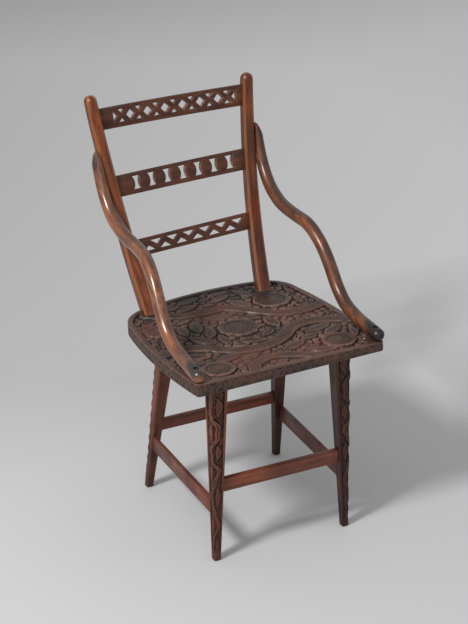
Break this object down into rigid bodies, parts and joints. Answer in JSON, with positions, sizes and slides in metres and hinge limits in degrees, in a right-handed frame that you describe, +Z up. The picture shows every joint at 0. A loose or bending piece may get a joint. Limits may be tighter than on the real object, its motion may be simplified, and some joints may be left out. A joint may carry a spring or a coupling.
{
  "type": "carved wooden armchair",
  "caption": "Low-armed wooden chair: carved D-shaped seat on splayed legs, bowed posts with pierced slats and S-curved round arms.",
  "frame": {"origin": "on the floor under the middle of the chair's overall box, midway between the seat's front edge and the rear of the top slat", "axes": "+X to the right of a person facing the chair, +Y backwards from the seat's front edge to the back, +Z up"},
  "size_m": [0.441, 0.6042, 0.8549],
  "materials": {
    "seat": "oiled, worn",
    "legs": "oiled, worn",
    "stretchers": "oiled, worn",
    "posts": "oiled, worn",
    "slats": "oiled, worn",
    "arms": "oiled, worn",
    "dark_screws": "dark",
    "bright_nails": "dull"
  },
  "bodies": {
    "root": {"arm_front_screw_left": "dark_screws", "arm_front_screw_right": "dark_screws", "arm_left": "arms", "arm_nail_left": "bright_nails", "arm_nail_right": "bright_nails", "arm_right": "arms", "arm_top_screw_left": "dark_screws", "arm_top_screw_right": "dark_screws", "back_post_left": "posts", "back_post_right": "posts", "leg_back_left": "legs", "leg_back_right": "legs", "leg_front_left": "legs", "leg_front_right": "legs", "seat_board": "seat", "slat_bottom": "slats", "slat_middle": "slats", "slat_top": "slats", "stretcher_back": "stretchers", "stretcher_front": "stretchers", "stretcher_left": "stretchers", "stretcher_pin": "dark_screws", "stretcher_right": "stretchers"}
  },
  "joints": []
}
